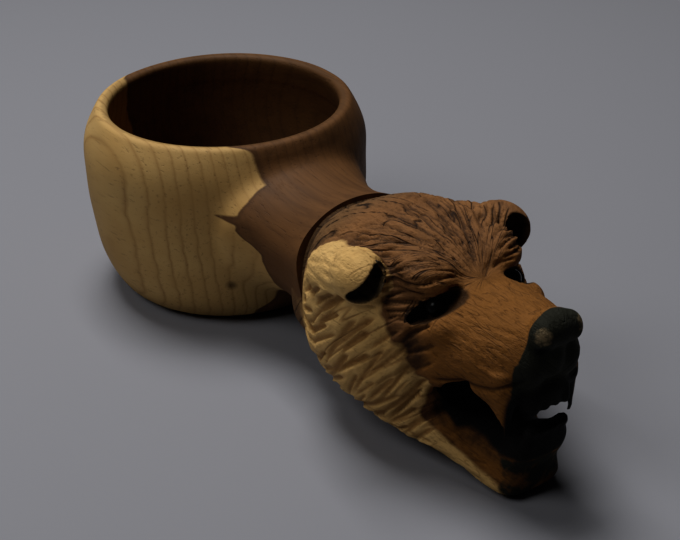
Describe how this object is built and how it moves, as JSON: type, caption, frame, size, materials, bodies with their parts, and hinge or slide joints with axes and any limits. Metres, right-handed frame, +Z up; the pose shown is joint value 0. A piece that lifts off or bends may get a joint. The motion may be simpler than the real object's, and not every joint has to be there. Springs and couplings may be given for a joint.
{
  "type": "carved wooden cup",
  "caption": "Round carved wooden drinking cup with a short neck handle that ends in an open-mouthed bear's head.",
  "frame": {"origin": "middle of the cup's flat base, on the surface it stands on", "axes": "+Z up along the cup's axis, +X from the cup along the handle to the bear's nose, +Y to the bear's left"},
  "size_m": [0.1959, 0.0868, 0.059],
  "materials": {
    "cup_wood": "smooth oiled walnut, dark heartwood with a pale sapwood side",
    "head_wood": "knife-carved oiled walnut, dark stain on nose and lips",
    "eye_bead": "black, polished"
  },
  "bodies": {
    "root": {"kuksa_bowl": "cup_wood", "bear_head": "head_wood", "right_eye": "eye_bead", "left_eye": "eye_bead"}
  },
  "joints": []
}
